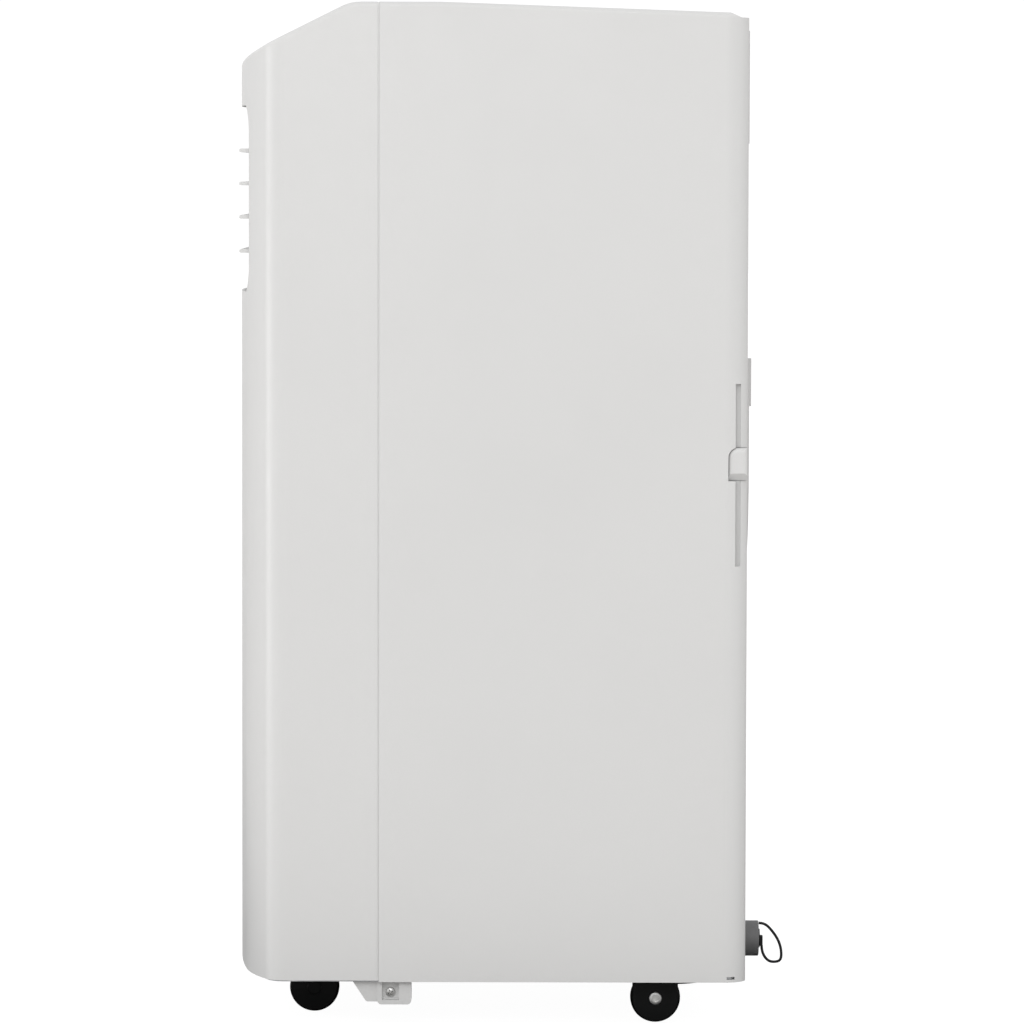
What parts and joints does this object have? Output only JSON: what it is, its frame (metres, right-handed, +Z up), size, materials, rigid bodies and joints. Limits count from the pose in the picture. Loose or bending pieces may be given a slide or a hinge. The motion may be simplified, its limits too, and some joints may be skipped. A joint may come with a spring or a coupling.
{
  "type": "portable air conditioner",
  "caption": "Tall floor-standing room air conditioner with a sloped top panel, front louvre outlet, rear intake grilles, round hose port, drains and swivel casters.",
  "frame": {"origin": "on the floor, within a millimetre of the middle of the cabinet and its drain stopper", "axes": "+Z up, front of the cabinet faces -Y, rear hose port faces +Y, +X is the side that carries the drain cap"},
  "size_m": [0.345, 0.3822, 0.703],
  "materials": {
    "case_white": "satin moulded",
    "trim_white": "satin moulded",
    "panel_grey": "gloss",
    "display_dark": "gloss tinted",
    "button_grey": "soft satin",
    "board_green": "solder mask",
    "inner_white": "moulded",
    "blower_black": "moulded",
    "motor_steel": "zinc plated",
    "fin_aluminium": "bright fins",
    "compressor_black": "satin paint",
    "copper": "bare copper",
    "pan_steel": "galvanised",
    "mesh_grey": "fine net",
    "collar_grey": "satin",
    "rubber_black": "matt",
    "screw_steel": "plated",
    "caster_black": "satin",
    "wheel_black": "satin"
  },
  "bodies": {
    "cabinet": {"base_pan": "pan_steel", "front_shell": "case_white", "rear_shell": "case_white", "lower_grille": "case_white", "exhaust_ring": "case_white", "exhaust_duct": "inner_white", "control_panel": "panel_grey", "display_window": "display_dark", "control_board": "board_green", "outlet_duct": "trim_white", "upper_scroll": "inner_white", "upper_motor": "motor_steel", "evaporator_coil": "fin_aluminium", "mid_partition": "inner_white", "lower_scroll": "inner_white", "lower_motor": "motor_steel", "condenser_coil": "fin_aluminium", "compressor": "compressor_black", "accumulator": "compressor_black", "refrigerant_pipes": "copper", "drain_neck": "inner_white", "drain_collar": "collar_grey", "cord_gland": "rubber_black", "side_brackets": "case_white", "case_screws": "screw_steel", "caster_cups": "caster_black"},
    "intake_cover": {"filter_grille": "case_white", "filter_mesh": "mesh_grey"},
    "upper_fan": {"upper_blower": "blower_black"},
    "lower_fan": {"lower_blower": "blower_black"},
    "drain_cap": {"drain_cap": "case_white"},
    "drain_plug": {"drain_stopper": "rubber_black", "drain_leash": "rubber_black"},
    "button_power": {"button_power": "button_grey"},
    "button_mode": {"button_mode": "button_grey"},
    "button_fan": {"button_fan": "button_grey"},
    "button_warmer": {"button_warmer": "button_grey"},
    "button_cooler": {"button_cooler": "button_grey"},
    "louvre_1": {"louvre_1": "trim_white"},
    "louvre_2": {"louvre_2": "trim_white"},
    "louvre_3": {"louvre_3": "trim_white"},
    "louvre_4": {"louvre_4": "trim_white"},
    "louvre_bar": {"louvre_bar": "trim_white"},
    "vane_1": {"vane_1": "trim_white"},
    "vane_2": {"vane_2": "trim_white"},
    "vane_3": {"vane_3": "trim_white"},
    "vane_4": {"vane_4": "trim_white"},
    "vane_link": {"vane_link": "trim_white"},
    "caster_rear_right": {"caster_fork_rear_right": "caster_black", "caster_axle_rear_right": "screw_steel"},
    "wheel_rear_right": {"caster_wheel_rear_right": "wheel_black"},
    "caster_rear_left": {"caster_fork_rear_left": "caster_black", "caster_axle_rear_left": "screw_steel"},
    "wheel_rear_left": {"caster_wheel_rear_left": "wheel_black"},
    "caster_front_right": {"caster_fork_front_right": "caster_black", "caster_axle_front_right": "screw_steel"},
    "wheel_front_right": {"caster_wheel_front_right": "wheel_black"},
    "caster_front_left": {"caster_fork_front_left": "caster_black", "caster_axle_front_left": "screw_steel"},
    "wheel_front_left": {"caster_wheel_front_left": "wheel_black"}
  },
  "joints": [
    {"name": "intake_cover_hinge", "type": "hinge", "parent": "cabinet", "child": "intake_cover", "pos_m": [0, 0.1685, 0.468], "axis": [-1, 0, 0], "range_deg": [0, 75]},
    {"name": "upper_fan_spin", "type": "hinge", "parent": "cabinet", "child": "upper_fan", "pos_m": [0, -0.045, 0.572], "axis": [1, 0, 0], "continuous": true},
    {"name": "lower_fan_spin", "type": "hinge", "parent": "cabinet", "child": "lower_fan", "pos_m": [0, 0.08, 0.205], "axis": [0, 1, 0], "continuous": true},
    {"name": "drain_cap_pull", "type": "slide", "parent": "cabinet", "child": "drain_cap", "axis": [0, 1, 0], "range_m": [0, 0.02]},
    {"name": "drain_plug_pull", "type": "slide", "parent": "cabinet", "child": "drain_plug", "axis": [0, 1, 0], "range_m": [0, 0.015]},
    {"name": "button_power_press", "type": "slide", "parent": "cabinet", "child": "button_power", "axis": [0, 0.4462, -0.8949], "range_m": [0, 0.001], "stiffness_N_per_m": 800},
    {"name": "button_mode_press", "type": "slide", "parent": "cabinet", "child": "button_mode", "axis": [0, 0.4462, -0.8949], "range_m": [0, 0.001], "stiffness_N_per_m": 800},
    {"name": "button_fan_press", "type": "slide", "parent": "cabinet", "child": "button_fan", "axis": [0, 0.4462, -0.8949], "range_m": [0, 0.001], "stiffness_N_per_m": 800},
    {"name": "button_warmer_press", "type": "slide", "parent": "cabinet", "child": "button_warmer", "axis": [0, 0.4462, -0.8949], "range_m": [0, 0.001], "stiffness_N_per_m": 800},
    {"name": "button_cooler_press", "type": "slide", "parent": "cabinet", "child": "button_cooler", "axis": [0, 0.4462, -0.8949], "range_m": [0, 0.001], "stiffness_N_per_m": 800},
    {"name": "louvre_1_tilt", "type": "hinge", "parent": "cabinet", "child": "louvre_1", "pos_m": [0, -0.167, 0.6018], "axis": [1, 0, 0], "range_deg": [-30, 45]},
    {"name": "louvre_2_tilt", "type": "hinge", "parent": "cabinet", "child": "louvre_2", "pos_m": [0, -0.167, 0.579], "axis": [1, 0, 0], "range_deg": [-30, 45]},
    {"name": "louvre_3_tilt", "type": "hinge", "parent": "cabinet", "child": "louvre_3", "pos_m": [0, -0.167, 0.556], "axis": [1, 0, 0], "range_deg": [-30, 45]},
    {"name": "louvre_4_tilt", "type": "hinge", "parent": "cabinet", "child": "louvre_4", "pos_m": [0, -0.167, 0.5325], "axis": [1, 0, 0], "range_deg": [-30, 45]},
    {"name": "louvre_bar_pivot", "type": "hinge", "parent": "louvre_1", "child": "louvre_bar", "pos_m": [-0.118, -0.1565, 0.6018], "axis": [1, 0, 0], "range_deg": [-45, 30]},
    {"name": "vane_1_turn", "type": "hinge", "parent": "cabinet", "child": "vane_1", "pos_m": [-0.075, -0.128, 0.568], "axis": [0, 0, 1], "range_deg": [-35, 35]},
    {"name": "vane_2_turn", "type": "hinge", "parent": "cabinet", "child": "vane_2", "pos_m": [-0.025, -0.128, 0.568], "axis": [0, 0, 1], "range_deg": [-35, 35]},
    {"name": "vane_3_turn", "type": "hinge", "parent": "cabinet", "child": "vane_3", "pos_m": [0.025, -0.128, 0.568], "axis": [0, 0, 1], "range_deg": [-35, 35]},
    {"name": "vane_4_turn", "type": "hinge", "parent": "cabinet", "child": "vane_4", "pos_m": [0.075, -0.128, 0.568], "axis": [0, 0, 1], "range_deg": [-35, 35]},
    {"name": "vane_link_pivot", "type": "hinge", "parent": "vane_1", "child": "vane_link", "pos_m": [-0.075, -0.114, 0.52], "axis": [0, 0, 1], "range_deg": [-35, 35]},
    {"name": "caster_rear_right_swivel", "type": "hinge", "parent": "cabinet", "child": "caster_rear_right", "pos_m": [0.1395, 0.1164, 0.045], "axis": [0, 0, 1], "continuous": true},
    {"name": "wheel_rear_right_roll", "type": "hinge", "parent": "caster_rear_right", "child": "wheel_rear_right", "pos_m": [0.1395, 0.1084, 0.0173], "axis": [1, 0, 0], "continuous": true},
    {"name": "caster_rear_left_swivel", "type": "hinge", "parent": "cabinet", "child": "caster_rear_left", "pos_m": [-0.1395, 0.1164, 0.045], "axis": [0, 0, 1], "continuous": true},
    {"name": "wheel_rear_left_roll", "type": "hinge", "parent": "caster_rear_left", "child": "wheel_rear_left", "pos_m": [-0.1395, 0.1084, 0.0173], "axis": [1, 0, 0], "continuous": true},
    {"name": "caster_front_right_swivel", "type": "hinge", "parent": "cabinet", "child": "caster_front_right", "pos_m": [0.0895, -0.121, 0.045], "axis": [0, 0, 1], "continuous": true},
    {"name": "wheel_front_right_roll", "type": "hinge", "parent": "caster_front_right", "child": "wheel_front_right", "pos_m": [0.0895, -0.129, 0.0173], "axis": [1, 0, 0], "continuous": true},
    {"name": "caster_front_left_swivel", "type": "hinge", "parent": "cabinet", "child": "caster_front_left", "pos_m": [-0.0895, -0.121, 0.045], "axis": [0, 0, 1], "continuous": true},
    {"name": "wheel_front_left_roll", "type": "hinge", "parent": "caster_front_left", "child": "wheel_front_left", "pos_m": [-0.0895, -0.129, 0.0173], "axis": [1, 0, 0], "continuous": true}
  ],
  "couplings": [
    {"joint": "louvre_2_tilt", "follows": "louvre_1_tilt", "ratio": 1},
    {"joint": "louvre_3_tilt", "follows": "louvre_1_tilt", "ratio": 1},
    {"joint": "louvre_4_tilt", "follows": "louvre_1_tilt", "ratio": 1},
    {"joint": "louvre_bar_pivot", "follows": "louvre_1_tilt", "ratio": -1},
    {"joint": "vane_2_turn", "follows": "vane_1_turn", "ratio": 1},
    {"joint": "vane_3_turn", "follows": "vane_1_turn", "ratio": 1},
    {"joint": "vane_4_turn", "follows": "vane_1_turn", "ratio": 1},
    {"joint": "vane_link_pivot", "follows": "vane_1_turn", "ratio": -1}
  ]
}
